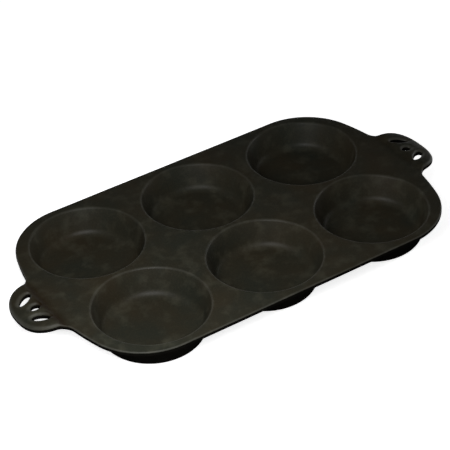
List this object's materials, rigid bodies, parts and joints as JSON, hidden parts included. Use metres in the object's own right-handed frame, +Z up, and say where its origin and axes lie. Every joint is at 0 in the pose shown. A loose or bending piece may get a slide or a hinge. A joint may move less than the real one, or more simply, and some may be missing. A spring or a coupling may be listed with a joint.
{
  "type": "muffin pan",
  "caption": "Cast iron muffin pan: a flat rounded deck with shallow drafted wells in two rows and a pierced handle at each end.",
  "frame": {"origin": "centre of the pan's footprint, in the plane that the cups stand on", "axes": "+X along the pan from one handle to the other, +Y across it to the back, +Z up out of the wells"},
  "size_m": [0.4144, 0.217, 0.0294],
  "materials": {
    "cast_iron": "sand-cast iron, seasoned with baked oil to a satin black with a fine pebbled grain"
  },
  "bodies": {
    "root": {"cup_front_left": "cast_iron", "cup_front_middle": "cast_iron", "cup_front_right": "cast_iron", "cup_back_left": "cast_iron", "cup_back_middle": "cast_iron", "cup_back_right": "cast_iron", "deck_plate": "cast_iron", "handle_left": "cast_iron", "handle_right": "cast_iron"}
  },
  "joints": []
}
